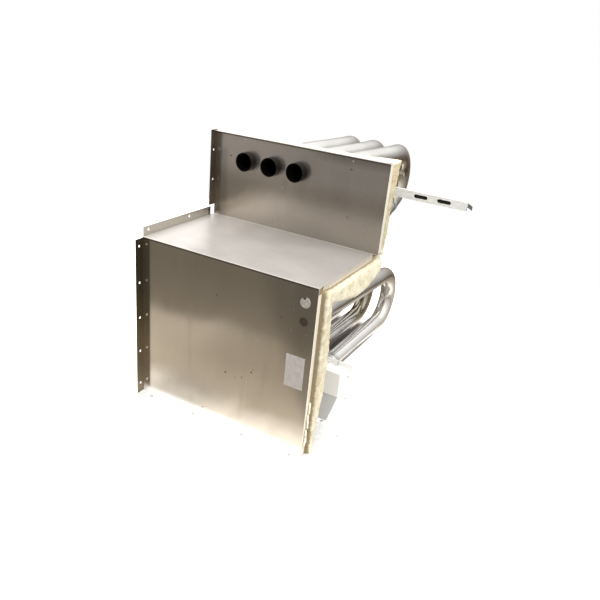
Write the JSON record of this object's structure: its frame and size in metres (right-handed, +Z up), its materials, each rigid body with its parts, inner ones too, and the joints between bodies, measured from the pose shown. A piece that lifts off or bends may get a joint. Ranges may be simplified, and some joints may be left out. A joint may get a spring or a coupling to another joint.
{
  "type": "furnace heat exchanger",
  "caption": "Stepped sheet panel with glass-fibre insulation that carries serpentine burner tubes, a collector box and a base pan.",
  "frame": {"origin": "middle of the panel's width, in the plane of its front face, on the underside of the base pan", "axes": "+X to the right as seen from the burner side, +Y from the panel towards the tubes' rear bends, +Z up"},
  "size_m": [0.658, 0.8448, 0.6965],
  "materials": {
    "panel_sheet_metal": "bright rolled sheet, stained and scratched",
    "galvanised_sheet": "bright galvanised sheet",
    "tube_steel": "drawn tube, polished, with a heat tint",
    "aluminised_sheet": "dull aluminised sheet",
    "glass_fibre_blanket": "cream glass fibre, cut edges",
    "gasket_fibre": "pressed fibre",
    "plated_steel": "zinc plated"
  },
  "bodies": {
    "root": {"vestibule_panel": "panel_sheet_metal", "base_pan": "galvanised_sheet", "tube_1": "tube_steel", "tube_2": "tube_steel", "tube_3": "tube_steel", "front_insulation": "glass_fibre_blanket", "shelf_insulation": "glass_fibre_blanket", "upper_insulation": "glass_fibre_blanket", "insulation_pins": "plated_steel", "pin_washers": "plated_steel", "collector_box": "aluminised_sheet", "collector_gasket": "gasket_fibre", "collector_back_plate": "aluminised_sheet", "flue_collar": "aluminised_sheet", "rear_tube_channel": "galvanised_sheet", "lower_tube_channel": "galvanised_sheet", "rear_tube_band_1": "plated_steel", "rear_tube_band_2": "plated_steel", "rear_tube_band_3": "plated_steel", "lower_tube_band_1": "plated_steel", "lower_tube_band_2": "plated_steel", "lower_tube_band_3": "plated_steel", "base_screws": "plated_steel", "collector_screws": "plated_steel", "cover_screws": "plated_steel", "band_screws": "plated_steel", "hole_plug": "plated_steel", "knockout_disc": "panel_sheet_metal"}
  },
  "joints": []
}
